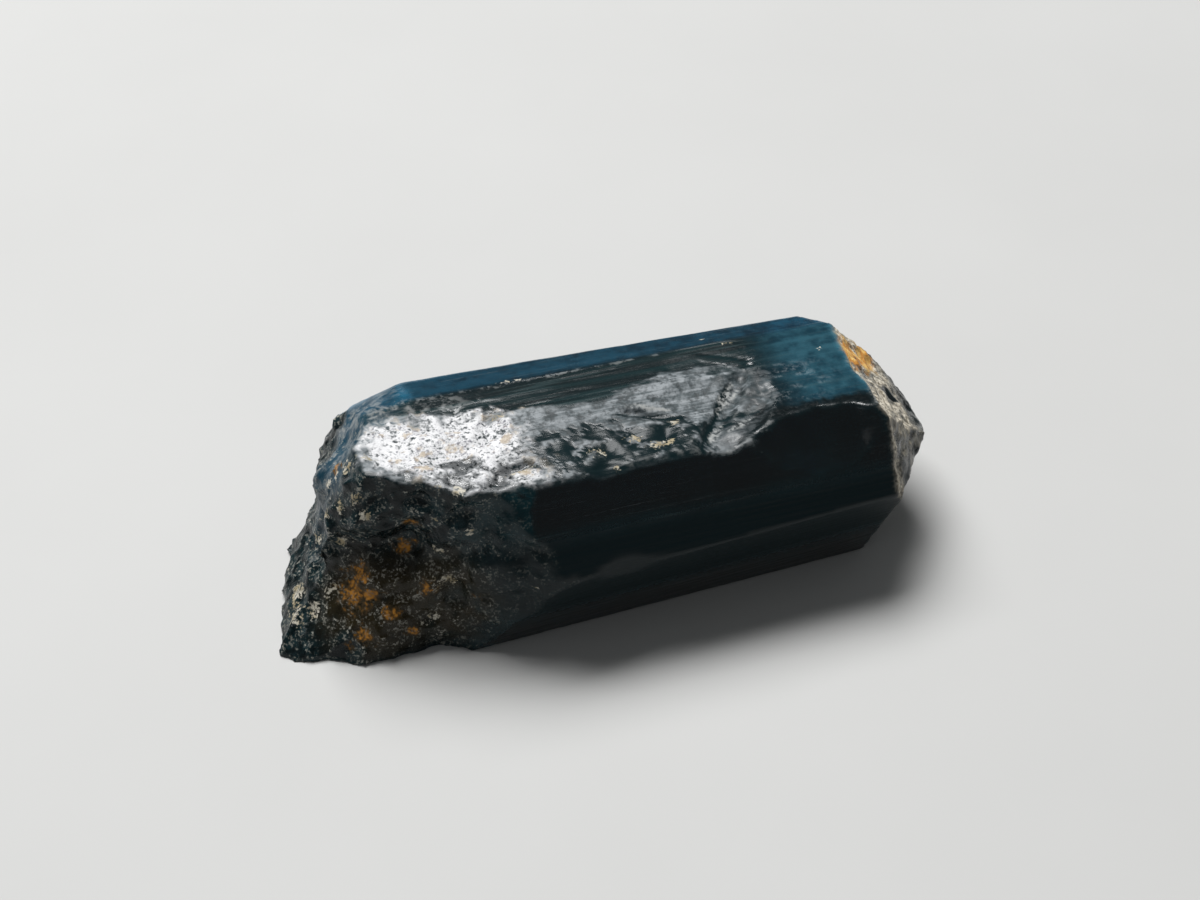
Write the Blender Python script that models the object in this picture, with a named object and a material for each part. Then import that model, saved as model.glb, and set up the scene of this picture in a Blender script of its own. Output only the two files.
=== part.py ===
"""Apatite crystal: a six-sided prism lying on one of its long faces.

The long axis of the crystal runs along X. The pyramid end points to +X and the broken root end to -X.
+Z is up, -Y is the side with the worn ridge and the stained break, and the model is in metres.
Lengths below are in millimetres, measured from the middle of the face that the crystal lies on.
"""

import math
import random

import bmesh
import bpy
from mathutils import Matrix, Vector, noise

MM = 0.001

# Driving dimensions
TIP_X = 12.3            # flat tip of the pyramid end
ROOT_X = -12.1          # farthest point of the broken root end
HEIGHT = 7.08           # between the two level prism faces
RIDGE_Y = -3.05         # worn ridge between the top and the front face
BAND_Y = 0.45           # start of the striated band on the top
STRIP_Y = 2.3           # start of the narrow strip at the back of the top
BACK_Y = 3.5            # back edge of the strip
BAND_TILT = 5.5         # degrees that the striated band leans back
STRIP_TILT = 14.0       # degrees that the strip leans back
FRONT_WIDEST_Y = -4.79
BACK_WIDEST_Y = 5.3
MID_Z = 3.85            # height of the widest line of the front
PYRAMID_LEAN = 40.3     # degrees between a pyramid face's normal and the long axis

RELIEF_CELL = 0.34      # grid size of the broken and etched surfaces
CUTTER_DEPTH = 16.0     # how far a cutter reaches beyond such a surface
CHIP_SEGMENTS = 24
PIT_SEGMENTS = 10


def prism_normal(degrees, taper=0.0):
    """Outward normal of a prism face: degrees from straight up towards -Y, leaning by taper to +X."""
    turn = math.radians(degrees)
    lean = math.radians(taper)
    return Vector((math.sin(lean), -math.sin(turn) * math.cos(lean), math.cos(turn) * math.cos(lean)))


def pyramid_normal(degrees):
    """Outward normal of the pyramid face that rises from the prism face at the same angle."""
    lean = math.radians(PYRAMID_LEAN)
    return Vector((math.cos(lean), 0.0, 0.0)) + math.sin(lean) * prism_normal(degrees)


def crystal_faces():
    """Each flat face of the crystal as its name, a point on it and its outward normal."""
    band_z = HEIGHT - (STRIP_Y - BAND_Y) * math.tan(math.radians(BAND_TILT))
    strip_z = band_z - (BACK_Y - STRIP_Y) * math.tan(math.radians(STRIP_TILT))
    return [
        ("top", (0, 0, HEIGHT), prism_normal(0, 0.4)),
        ("top striated band", (0, BAND_Y, HEIGHT), prism_normal(-BAND_TILT, 0.5)),
        ("top back strip", (0, STRIP_Y, band_z), prism_normal(-STRIP_TILT, 0.7)),
        ("front", (0, RIDGE_Y, HEIGHT), prism_normal(60, 0.5)),
        ("front underside", (0, FRONT_WIDEST_Y, MID_Z), Vector((0.04, -0.93, -0.37))),
        ("bottom", (0, 0, 0), prism_normal(180)),
        ("back underside", (0, BACK_WIDEST_Y, MID_Z - 0.5), prism_normal(240, 1.0)),
        ("back", (0, BACK_Y, strip_z), prism_normal(300, 1.95)),
        ("pyramid top", (9.49, 0, 6.82), pyramid_normal(0)),
        ("pyramid front", (9.49, -3.45, 6.35), pyramid_normal(60)),
        ("pyramid front underside", (9.6, -4.6, 3.7), pyramid_normal(120)),
        ("pyramid bottom", (9.6, 0, 0), pyramid_normal(180)),
        ("pyramid back underside", (9.4, 5.0, 3.3), pyramid_normal(240)),
        ("pyramid back", (10.5, 3.5, 5.0), pyramid_normal(300)),
        ("pyramid back corner", (8.7, 3.15, 6.5), Vector((0.55, 0.61, 0.57))),
        ("flat tip", (TIP_X, 0, MID_Z), Vector((1, 0, 0))),
        ("root end, before it broke", (ROOT_X - 0.2, 0, 0), Vector((-1, 0, 0))),
        ("worn root corner", (-7.3, 2.75, 6.85), Vector((-0.35, 0.55, 0.76))),
        ("worn ridge", (-3.0, RIDGE_Y + 0.12, HEIGHT), prism_normal(28, 0.3)),
    ]


def cut_flat(mesh, point, normal):
    """Cuts away all that lies beyond a plane and closes the cut with one flat face."""
    geometry = mesh.verts[:] + mesh.edges[:] + mesh.faces[:]
    cut = bmesh.ops.bisect_plane(
        mesh, geom=geometry, plane_co=Vector(point) * MM, plane_no=normal, clear_outer=True)
    rim = [item for item in cut["geom_cut"] if isinstance(item, bmesh.types.BMEdge)]
    bmesh.ops.holes_fill(mesh, edges=rim, sides=len(rim))


def make_prism(collection):
    """The unbroken crystal: a block trimmed by one plane for each crystal face."""
    mesh = bmesh.new()
    bmesh.ops.create_cube(mesh, size=40 * MM)
    for _, point, normal in crystal_faces():
        cut_flat(mesh, point, normal)
    return add_object("crystal", mesh, collection)


def add_object(name, mesh, collection):
    """Turns an edited mesh into an object of the collection."""
    bmesh.ops.recalc_face_normals(mesh, faces=mesh.faces[:])
    data = bpy.data.meshes.new(name)
    mesh.to_mesh(data)
    mesh.free()
    piece = bpy.data.objects.new(name, data)
    collection.objects.link(piece)
    return piece


def smooth_step(value):
    """0 below 0, 1 above 1 and an even S between."""
    value = min(max(value, 0.0), 1.0)
    return value * value * (3 - 2 * value)


def near_line(point, start, end, radius):
    """1 on the line from start to end, falling to nothing a few radii away."""
    along = end - start
    share = min(max((point - start).dot(along) / along.length_squared, 0.0), 1.0)
    gap = (point - (start + along * share)).length
    return math.exp(-(gap / radius) ** 2)


def fracture_relief(point, forms):
    """Height of a broken surface above its plane: lumps, small terraces, hackles and the named forms."""
    lumps = noise.noise(point * 0.42 + Vector((3.1, 0.4, 7.7))) * 0.5
    swell = noise.noise(point * 0.75 + Vector((9.2, 4.1, 1.3))) * 2.6
    terraces = (math.floor(swell) + smooth_step((swell - math.floor(swell) - 0.35) / 0.3)) * 0.16
    hackles = noise.fractal(point * 1.7, 0.9, 2.1, 3) * 0.15
    height = lumps + terraces + hackles
    for start, end, radius, rise in forms:
        height += rise * near_line(point, Vector(start), Vector(end), radius)
    return height


def shell_relief(point, strike, hollow):
    """Height of a shell-shaped chip: a hollow that rises from its middle, with ripples round the strike."""
    middle, rise = hollow
    away = point - Vector(middle)
    ripples = math.cos((point - Vector(strike)).length * 5.5) * 0.035
    return rise * away.length_squared + ripples + noise.noise(point * 1.6) * 0.08


def etched_relief(point, middle, reach, narrowing=1.0):
    """Height of an etched patch of a flat face: uneven pits in the middle, nothing cut beyond the reach."""
    away = point - Vector(middle)
    away.y *= narrowing
    share = away.length / reach
    pits = noise.noise(point * 1.35) * 0.2 + noise.noise(point * 3.1) * 0.1 - 0.07
    return pits + 0.3 * smooth_step((share - 0.6) / 0.4)


def relief_block(name, point, normal, width, height, relief, collection):
    """A cutter whose near side follows a relief and whose body lies beyond it."""
    outward = normal.normalized()
    turn = outward.to_track_quat("Z", "Y").to_matrix()
    mesh = bmesh.new()
    bmesh.ops.create_grid(
        mesh, x_segments=round(width / RELIEF_CELL), y_segments=round(height / RELIEF_CELL), size=0.5)
    for vert in mesh.verts:
        level = Vector(point) + turn @ Vector((vert.co.x * width, vert.co.y * height, 0))
        vert.co = (level + outward * relief(level)) * MM
    body = bmesh.ops.extrude_face_region(mesh, geom=mesh.faces[:])["geom"]
    far_side = [item for item in body if isinstance(item, bmesh.types.BMVert)]
    bmesh.ops.translate(mesh, verts=far_side, vec=outward * CUTTER_DEPTH * MM)
    return add_object(name, mesh, collection)


def scoop(name, centre, radii, yaw, roll, collection, segments=CHIP_SEGMENTS):
    """A shell-shaped cutter: an ellipsoid rolled about its own length and then turned about Z."""
    mesh = bmesh.new()
    bmesh.ops.create_uvsphere(mesh, u_segments=segments, v_segments=segments // 2, radius=1.0)
    place = (Matrix.Translation(Vector(centre) * MM)
             @ Matrix.Rotation(math.radians(yaw), 4, "Z")
             @ Matrix.Rotation(math.radians(roll), 4, "X")
             @ Matrix.Diagonal((*[size * MM for size in radii], 1.0)))
    bmesh.ops.transform(mesh, matrix=place, verts=mesh.verts[:])
    return add_object(name, mesh, collection)


def make_breaks(collection):
    """The two rough surfaces of the broken root end."""
    root_forms = [
        ((-9.3, 3.3, 3.6), (-9.1, -0.9, 5.5), 0.55, 0.35),      # pale rib across the break
        ((-10.2, 4.2, 2.4), (-10.6, 0.5, 3.0), 0.8, -0.3),      # hollow under the rib
        ((-11.6, 0.8, 0.6), (-11.9, -1.6, 0.4), 1.0, 0.25),     # thick foot
    ]
    side_forms = [
        ((-12.4, -1.4, 0.0), (-9.6, -2.2, 0.0), 1.7, 1.45),     # foot that stands out
        ((-12.5, -0.9, 0.0), (-11.6, -1.5, 0.0), 1.1, 0.8),     # its outer corner
        ((-8.4, -1.0, 7.1), (-5.6, -2.5, 7.1), 0.9, 0.55),      # worn upper edge
        ((-9.4, -1.1, 5.0), (-7.9, -1.8, 4.9), 0.35, 0.35),     # ledge
        ((-9.2, -1.2, 4.1), (-7.6, -2.0, 3.9), 0.7, -0.45),     # hollow under the ledge
        ((-6.6, -2.6, 3.0), (-5.2, -3.2, 3.6), 0.8, 0.25),      # low swelling beside the front face
    ]
    return [
        relief_block("root_break", (-9.8, 0.6, 4.1), Vector((-1, 0.25, 0.45)), 14, 13,
                     lambda point: fracture_relief(point, root_forms), collection),
        relief_block("side_break", (-7.6, -2.0, 3.4), Vector((-0.46, -0.86, 0.20)), 12, 12,
                     lambda point: fracture_relief(point, side_forms), collection),
    ]


def make_worn_faces(collection):
    """The long chip that took off the ridge, and the etched patches of the top, its ridge and the pyramid."""
    chip = (7.1, -3.07, 6.1)
    patch = (-5.6, -0.8, HEIGHT + 0.03)
    ridge_patch = (0.3, -1.95, HEIGHT + 0.03)
    tip = (10.7, -0.2, 5.4)
    tip_side = (10.6, -2.9, 4.9)
    return [
        relief_block("ridge_chip", chip, Vector((0, -0.66, 0.75)), 7.5, 5,
                     lambda point: shell_relief(point, (4.4, -3.1, 7.0), (chip, 0.085)), collection),
        relief_block("etched_top", patch, Vector((0, 0, 1)), 7, 5,
                     lambda point: etched_relief(point, patch, 3.6), collection),
        relief_block("etched_ridge", ridge_patch, Vector((0, 0, 1)), 5.6, 2.5,
                     lambda point: etched_relief(point, ridge_patch, 2.8, 2.2), collection),
        relief_block("etched_pyramid_top", tip, pyramid_normal(0), 5.4, 4.4,
                     lambda point: etched_relief(point, tip, 3.2), collection),
        relief_block("etched_pyramid_front", tip_side, pyramid_normal(60), 4.2, 3.4,
                     lambda point: etched_relief(point, tip_side, 2.2), collection),
    ]


def make_chips(collection):
    """Shell-shaped chips, flake scars and slots, each as centre, radii, yaw and roll."""
    chips = {
        "shell_scar": ((3.4, -0.7, 7.55), (3.0, 1.45, 0.72), 6, 0),
        "groove": ((4.05, -1.35, 7.16), (2.5, 0.5, 0.52), 53, -18),
        "groove_flank": ((4.75, -1.75, 7.42), (2.3, 1.0, 0.62), 50, 0),
        "flake_scar": ((3.6, -2.75, 7.2), (0.95, 0.6, 0.42), 10, 25),
        "lens_slot": ((1.65, -0.95, 7.02), (1.3, 0.17, 0.24), -24, 20),
        "crescent_slot": ((4.8, 1.2, 6.98), (1.35, 0.2, 0.26), -29, 15),
        "stained_slot": ((-3.7, -2.08, 7.1), (0.85, 0.15, 0.22), 2, 0),
        "ridge_nick": ((-0.6, -3.1, 7.25), (0.9, 0.42, 0.4), 4, 0),
        "edge_flake": ((-0.4, -4.9, 3.9), (1.1, 0.3, 0.45), -2, 0),
        "back_flake": ((-5.4, 5.75, 3.6), (0.9, 0.5, 0.5), 3, 10),
        "back_edge_flake": ((2.8, 5.45, 3.3), (1.5, 0.4, 0.6), -2, 0),
        "underside_flake": ((-3.2, 3.6, -0.1), (1.3, 0.6, 0.5), 0, 0),
    }
    return [scoop(name, *shape, collection) for name, shape in chips.items()]


def make_striations(collection):
    """Long shallow grooves along the striated band."""
    chance = random.Random(4)
    cutters = []
    for index in range(6):
        y = BAND_Y + 0.3 + index * 0.28
        z = HEIGHT - (y - BAND_Y) * math.tan(math.radians(BAND_TILT)) + 0.06
        centre = (chance.uniform(-3.0, 1.0), y, z)
        radii = (chance.uniform(2.4, 4.2), 0.085, 0.11)
        cutters.append(scoop(f"striation_{index}", centre, radii, -0.4, 0, collection, PIT_SEGMENTS))
    return cutters


def subtract(piece, cutters):
    """Cuts every cutter out of the piece with an exact Boolean."""
    for cutter in cutters:
        cutter.hide_render = True
        cutter.display_type = "WIRE"
        modifier = piece.modifiers.new(cutter.name, "BOOLEAN")
        modifier.operation = "DIFFERENCE"
        modifier.solver = "EXACT"
        modifier.object = cutter


def apply_cuts(piece):
    """Replaces the piece's mesh with the cut one."""
    depsgraph = bpy.context.evaluated_depsgraph_get()
    cut = bpy.data.meshes.new_from_object(piece.evaluated_get(depsgraph))
    piece.modifiers.clear()
    piece.data = cut
    cut.name = piece.name


def centre_on_ground(pieces, measured):
    """Moves all pieces so that the measured one stands on the origin with the middle of its box."""
    corners = [measured.matrix_world @ Vector(corner) for corner in measured.bound_box]
    low = Vector([min(corner[axis] for corner in corners) for axis in range(3)])
    high = Vector([max(corner[axis] for corner in corners) for axis in range(3)])
    shift = Vector((-(low.x + high.x) / 2, -(low.y + high.y) / 2, -low.z))
    for piece in pieces:
        piece.data.transform(Matrix.Translation(shift))


def crystal_material():
    """Deep teal, glossy and see-through."""
    material = bpy.data.materials.new("apatite")
    material.use_nodes = True
    shader = material.node_tree.nodes["Principled BSDF"]
    shader.inputs["Base Color"].default_value = (0.012, 0.075, 0.105, 1)
    shader.inputs["Metallic"].default_value = 0.0
    shader.inputs["Roughness"].default_value = 0.22
    shader.inputs["IOR"].default_value = 1.63
    shader.inputs["Transmission Weight"].default_value = 0.6
    return material


def new_collection(name):
    collection = bpy.data.collections.new(name)
    bpy.context.scene.collection.children.link(collection)
    return collection


def main():
    for item in list(bpy.data.objects):
        bpy.data.objects.remove(item, do_unlink=True)
    parts = new_collection("apatite_crystal")
    cutter_collection = new_collection("cutters")
    crystal = make_prism(parts)
    crystal.data.materials.append(crystal_material())
    cutters = make_breaks(cutter_collection)
    cutters += make_worn_faces(cutter_collection)
    cutters += make_chips(cutter_collection)
    cutters += make_striations(cutter_collection)
    subtract(crystal, cutters)
    apply_cuts(crystal)
    centre_on_ground([crystal, *cutters], crystal)
    return crystal


main()
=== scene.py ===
"""The look of the apatite crystal: its worn, broken and stained surface, the floor, light and camera."""

import math

import bpy
import numpy as np
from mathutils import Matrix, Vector, noise


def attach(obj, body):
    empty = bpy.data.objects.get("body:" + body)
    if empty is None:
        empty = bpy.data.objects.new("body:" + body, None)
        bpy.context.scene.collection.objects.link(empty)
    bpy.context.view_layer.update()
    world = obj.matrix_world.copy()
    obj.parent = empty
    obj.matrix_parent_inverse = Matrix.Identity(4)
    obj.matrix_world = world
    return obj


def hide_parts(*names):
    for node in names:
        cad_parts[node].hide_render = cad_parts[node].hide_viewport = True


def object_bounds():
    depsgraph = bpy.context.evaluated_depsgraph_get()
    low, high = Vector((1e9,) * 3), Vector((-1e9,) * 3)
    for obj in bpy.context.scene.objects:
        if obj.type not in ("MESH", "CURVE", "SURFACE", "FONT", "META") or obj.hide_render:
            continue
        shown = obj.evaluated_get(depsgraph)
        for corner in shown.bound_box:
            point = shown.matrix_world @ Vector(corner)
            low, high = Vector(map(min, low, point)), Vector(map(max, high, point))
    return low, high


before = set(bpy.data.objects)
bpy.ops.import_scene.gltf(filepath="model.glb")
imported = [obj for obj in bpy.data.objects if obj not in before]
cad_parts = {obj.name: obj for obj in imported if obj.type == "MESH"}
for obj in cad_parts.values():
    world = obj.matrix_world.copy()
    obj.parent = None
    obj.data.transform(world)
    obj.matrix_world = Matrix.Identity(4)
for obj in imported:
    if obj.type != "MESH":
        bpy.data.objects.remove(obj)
cad_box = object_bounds()

MM = 0.001

# Places on the crystal are in millimetres from the prism's axis, which lies a little beside the box's middle
AXIS_SHIFT = Vector((0.0, -0.343, 0.0))
TOP_Z = 7.08
RIDGE_Y = -3.05
STRIP_Y = 2.3
FRONT_EDGE_Y = -5.09
FRONT_EDGE_Z = 3.54

# How the large regions are told apart
BREAK_END_X = -1.5
PYRAMID_START_X = 8.0
TOP_END_X = 9.6
TOP_START_Z = 6.2

# The fine copy of the solid
MERGE_GAP = 0.000002
REMESH_DEPTH = 8
REMESH_SCALE = 0.95
SMALLEST_FLAT_FACE = 1.5

# The camera of the photograph
VIEW_AZIMUTH = -17.0
VIEW_ELEVATION = 43.0
LENS = 60.0
SENSOR = 36.0
PHOTO_SIZE = (1200, 900)
AIM = Vector((0.0, 0.0, 3.5))
AIM_PIXEL = (600, 480)
PIXELS_PER_MM = 28.0


# Small modelling helpers

def only(piece):
    """Makes one object the selected and active one."""
    bpy.ops.object.select_all(action="DESELECT")
    piece.select_set(True)
    bpy.context.view_layer.objects.active = piece


def add_modifier(piece, kind, **settings):
    """Adds a modifier with its settings and applies it."""
    only(piece)
    modifier = piece.modifiers.new(kind.lower(), kind)
    for name, value in settings.items():
        setattr(modifier, name, value)
    bpy.ops.object.modifier_apply(modifier=modifier.name)


def direction(azimuth, elevation):
    """The way from the crystal to a viewpoint or lamp, from its compass angle and height in degrees."""
    turn = math.radians(azimuth)
    rise = math.radians(elevation)
    return Vector((math.sin(turn) * math.cos(rise), -math.cos(turn) * math.cos(rise), math.sin(rise)))


def vertex_group(piece, name, weights):
    """Stores one weight for each vertex, in a hundred steps."""
    group = piece.vertex_groups.new(name=name)
    steps = np.round(np.clip(weights, 0, 1) * 100).astype(int)
    for step in np.unique(steps):
        if step:
            group.add(np.nonzero(steps == step)[0].tolist(), step / 100, "REPLACE")
    return group.name


def read_points(piece):
    """Vertex positions in millimetres from the axis of the prism, and vertex normals."""
    mesh = piece.data
    points = np.empty(len(mesh.vertices) * 3)
    mesh.vertices.foreach_get("co", points)
    normals = np.empty(len(mesh.vertices) * 3)
    mesh.vertices.foreach_get("normal", normals)
    return points.reshape(-1, 3) / MM - np.array(AXIS_SHIFT), normals.reshape(-1, 3)


def step(value, low, high):
    """0 at low, 1 at high and an even S between."""
    share = np.clip((value - low) / (high - low), 0, 1)
    return share * share * (3 - 2 * share)


def near(points, centre, radii):
    """1 at the centre of an ellipsoid, 0 at its surface and beyond."""
    reach = np.linalg.norm((points - np.array(centre)) / np.array(radii), axis=1)
    return 1 - step(reach, 0.45, 1.0)


def mottle(points, size, seed, where=None):
    """Cloudy noise of about -1 to 1 at each point, with its grain size in millimetres."""
    wanted = np.arange(len(points)) if where is None else np.nonzero(where)[0]
    values = np.zeros(len(points))
    shift = Vector((seed * 7.3, seed * 3.1, seed * 5.7))
    for index in wanted:
        values[index] = noise.fractal(Vector(points[index] / size) + shift, 0.6, 2.0, 4) * 1.6
    return values


def within(points, outline, edge=0.25, ragged=0.0):
    """1 inside an outline on the top, 0 outside it, with an edge this wide in millimetres."""
    place = points[:, :2]
    distance = np.full(len(points), 100.0)
    inside = np.zeros(len(points), dtype=bool)
    corners = [np.array(corner, dtype=float) for corner in outline]
    for start, end in zip(corners, corners[1:] + corners[:1]):
        along = end - start
        share = np.clip(((place - start) @ along) / (along @ along), 0, 1)
        distance = np.minimum(distance, np.linalg.norm(place - start - share[:, None] * along, axis=1))
        crosses = (start[1] > place[:, 1]) != (end[1] > place[:, 1])
        rise = along[1] if along[1] else 1e-9
        inside ^= crosses & (place[:, 0] < start[0] + (place[:, 1] - start[1]) * along[0] / rise)
    signed = np.where(inside, distance, -distance)
    return step(signed + ragged, -edge, edge)


# The crystal's own surfaces

def flat_faces(node):
    """The large flat faces of the solid: unit normals and distances from the axis in millimetres."""
    mesh = node.data
    mesh.calc_loop_triangles()
    found = {}
    for triangle in mesh.loop_triangles:
        normal = triangle.normal
        distance = normal.dot(Vector(triangle.center) / MM - AXIS_SHIFT)
        key = tuple(round(value, 2) for value in normal) + (round(distance, 1),)
        area, total_normal, total_distance = found.get(key, (0.0, Vector((0, 0, 0)), 0.0))
        size = triangle.area / MM ** 2
        found[key] = (area + size, total_normal + normal * size, total_distance + distance * size)
    return [(total / area, distance / area) for area, total, distance in found.values()
            if area > SMALLEST_FLAT_FACE]


def on_flat_face(points, normals, faces):
    """True for the vertices that lie on a large flat face."""
    flat = np.zeros(len(points), dtype=bool)
    for normal, distance in faces:
        outward = np.array(normal.normalized())
        flat |= (np.abs(points @ outward - distance) < 0.03) & (normals @ outward > 0.97)
    return flat


def edge_ends(piece):
    """The two vertices of each edge of the mesh."""
    ends = np.empty(len(piece.data.edges) * 2, dtype=int)
    piece.data.edges.foreach_get("vertices", ends)
    return ends.reshape(-1, 2)


def convexity(piece, points, normals):
    """How far each vertex stands out from the middle of its neighbours, in millimetres."""
    ends = edge_ends(piece)
    total = np.zeros_like(points)
    count = np.zeros(len(points))
    for one, other in ((0, 1), (1, 0)):
        np.add.at(total, ends[:, one], points[ends[:, other]])
        np.add.at(count, ends[:, one], 1)
    middle = total / np.maximum(count, 1)[:, None]
    return np.einsum("ij,ij->i", points - middle, normals)


def spread(piece, weights, rounds):
    """Evens weights out over neighbouring vertices."""
    ends = edge_ends(piece)
    weights = np.asarray(weights, dtype=float)
    for _ in range(rounds):
        total = weights.copy()
        count = np.ones(len(weights))
        for one, other in ((0, 1), (1, 0)):
            np.add.at(total, ends[:, one], weights[ends[:, other]])
            np.add.at(count, ends[:, one], 1)
        weights = total / count
    return weights


def fine_copy(node):
    """A copy of the solid with its corners merged and an even fine mesh."""
    piece = bpy.data.objects.new("apatite_crystal", node.data.copy())
    bpy.context.scene.collection.objects.link(piece)
    only(piece)
    bpy.ops.object.mode_set(mode="EDIT")
    bpy.ops.mesh.select_all(action="SELECT")
    bpy.ops.mesh.remove_doubles(threshold=MERGE_GAP)
    bpy.ops.object.mode_set(mode="OBJECT")
    add_modifier(piece, "REMESH", mode="SMOOTH", octree_depth=REMESH_DEPTH, scale=REMESH_SCALE,
                 use_remove_disconnected=True, threshold=0.2)
    return piece


def spots(points, places, ragged, core=0.75, rim=1.15):
    """1 inside small spots, each given by its centre, its length along the crystal and its width."""
    found = np.zeros(len(points))
    for x, y, z, length, width in places:
        reach = np.linalg.norm((points - np.array((x, y, z))) / np.array((length, width, width)), axis=1)
        found = np.maximum(found, 1 - step(reach + ragged, core, rim))
    return found


def along_lines(points, lines, ragged):
    """1 on a line and 0 away from it, seen from above."""
    found = np.zeros(len(points))
    for start, end, width in lines:
        start, end = np.array(start), np.array(end)
        along = end - start
        share = np.clip(((points[:, :2] - start) @ along) / (along @ along), 0, 1)
        gap = np.linalg.norm(points[:, :2] - start - share[:, None] * along, axis=1)
        taper = 0.35 + 0.65 * np.sin(np.pi * np.clip(share, 0.05, 0.95))
        found = np.maximum(found, 1 - step(gap / (width * taper) + ragged, 0.7, 1.3))
    return found


# Single places: centre and reach along each axis in millimetres

BACK_SLOT = ((4.5, 1.4, 7.0), (2.2, 1.1, 1.4))
LEFT_RIM = ((-11.2, 1.3, 1.9), (1.5, 2.6, 2.8))
RIM_LUMPS = ((-11.2, 1.3, 1.9), (2.0, 3.0, 3.4))
FOOT = ((-12.0, -1.0, 0.3), (2.4, 2.4, 2.0))
ROOT_CORNER = ((-8.2, 2.2, 6.7), (2.6, 2.8, 2.0))
CORNER_GRAINS = ((-8.2, 2.2, 6.7), (2.2, 2.4, 1.7))
ROOT_TOP = ((-8.6, 2.5, 6.3), (3.0, 2.8, 2.2))
ROOT_SIDE = ((-10.4, 1.7, 4.3), (1.8, 2.4, 3.0))
ROOT_SHOULDER = ((-9.3, 1.6, 6.2), (1.6, 2.4, 1.6))
BROWN_BREAK = ((-8.7, -2.2, 1.9), (3.0, 2.6, 3.0))
BROWN_SIDE = ((-6.3, -3.0, 2.4), (2.6, 2.2, 2.6))
THIN_SATIN = ((4.3, -2.5, 7.0), (1.5, 1.1, 1.0))
BELOW_RIDGE = ((-3.7, -3.3, 6.6), (1.1, 0.7, 0.6))
RIGHT_CHIP = ((5.6, -0.5, 7.0), (1.5, 1.5, 1.2))
ROOT_HAZE = ((-6.8, 1.75, 7.0), (3.4, 0.9, 1.2))
END_HAZE = ((6.3, -0.7, 7.0), (2.6, 1.7, 1.0))

# Areas whose hard facets are rounded: name, centre, reach and rounds of smoothing
SOFT_SIDES = (("striated band", (-3.5, 1.4, 7.0), (5.5, 1.3, 1.0), 8),
              ("front edge", (-0.4, -4.1, 3.0), (2.4, 2.0, 2.0), 40),
              ("pitted ridge", (0.3, -1.95, 7.0), (4.2, 2.2, 1.0), 14))
SOFT_CORNERS = (("left rim", *LEFT_RIM, 50), ("root corner", *ROOT_CORNER, 90),
                ("back foot", (-11.3, 3.2, 0.4), (2.6, 2.2, 2.4), 110))


# The worn and etched areas of the top, as outlines in millimetres seen from above

GLARE = ((-8.4, 0.3), (-7.9, 1.2), (-6.7, 1.35), (-5, 1.0), (-3.2, 0.7), (-2.9, -0.9), (-2.7, -3.1),
         (-5, -3.0), (-6.8, -2.0), (-7.8, -0.9))
SATIN = ((-9.0, 0.6), (-8.2, 1.5), (-6.7, 1.3), (-5, 1.05), (-3, 0.7), (-1.7, 0.35), (0.2, 0.2),
         (0.8, 0.5), (2.4, 0.95), (3.9, 1.1), (5.2, 0.75), (6.2, -0.2), (6.2, -1.0), (5.3, -2.2),
         (4.0, -3.2), (-3.0, -3.4), (-6.8, -2.1), (-8.4, -0.9))
PITTED = ((-2.9, -1.3), (-1.5, -0.9), (0.3, -1.15), (2.5, -1.35), (2.9, -2.3), (2.2, -3.1),
          (-1.5, -3.05), (-2.9, -2.3))
RIDGE_RIM = ((5.3, -1.95), (5.6, -1.55), (6.7, -1.6), (7.7, -1.55), (8.9, -1.8), (9.2, -2.2),
             (8.9, -2.15), (7.7, -1.9), (6.7, -1.95), (5.6, -2.0))

# Dark cracks that cross the satin, painted with the shade in their clefts, and the pale slivers beside them,
# painted as glints on chip facets: both ends and the width
SHADED_CRACKS = (((4.62, -0.1), (3.75, -1.35), 0.12), ((3.75, -1.35), (2.79, -2.75), 0.1),
          ((3.73, -1.5), (5.2, -1.65), 0.14), ((3.3, -1.75), (4.4, -2.0), 0.08),
          ((0.5, -0.62), (2.7, -1.2), 0.12), ((3.55, 1.75), (5.4, 1.05), 0.16))
SLIVER_GLINTS = (((4.76, -0.05), (3.88, -1.22), 0.15), ((3.15, -2.6), (3.8, -1.8), 0.13),
           ((0.9, -0.3), (2.3, -0.75), 0.1), ((4.3, -0.9), (4.9, -0.3), 0.1),
           ((3.9, -2.3), (4.8, -1.95), 0.1))

# Spots: centre, length along the crystal and width in millimetres

# Dark glossy pits in the satin band
PITS = ((-0.71, -1.17, 7.0, 0.5, 0.35), (-1.83, -1.83, 7.0, 0.6, 0.35), (-0.42, -2.16, 7.0, 0.8, 0.35),
        (0.66, -1.62, 7.0, 0.3, 0.2), (1.52, -1.91, 7.0, 0.45, 0.2), (0.8, -2.75, 7.0, 1.5, 0.35),
        (2.1, -2.9, 7.0, 0.9, 0.3), (-2.25, -1.03, 7.0, 0.45, 0.22), (-2.58, -2.2, 7.0, 0.5, 0.25),
        (2.9, -2.0, 7.0, 0.4, 0.3), (-1.2, -2.8, 7.0, 0.8, 0.2))

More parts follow.
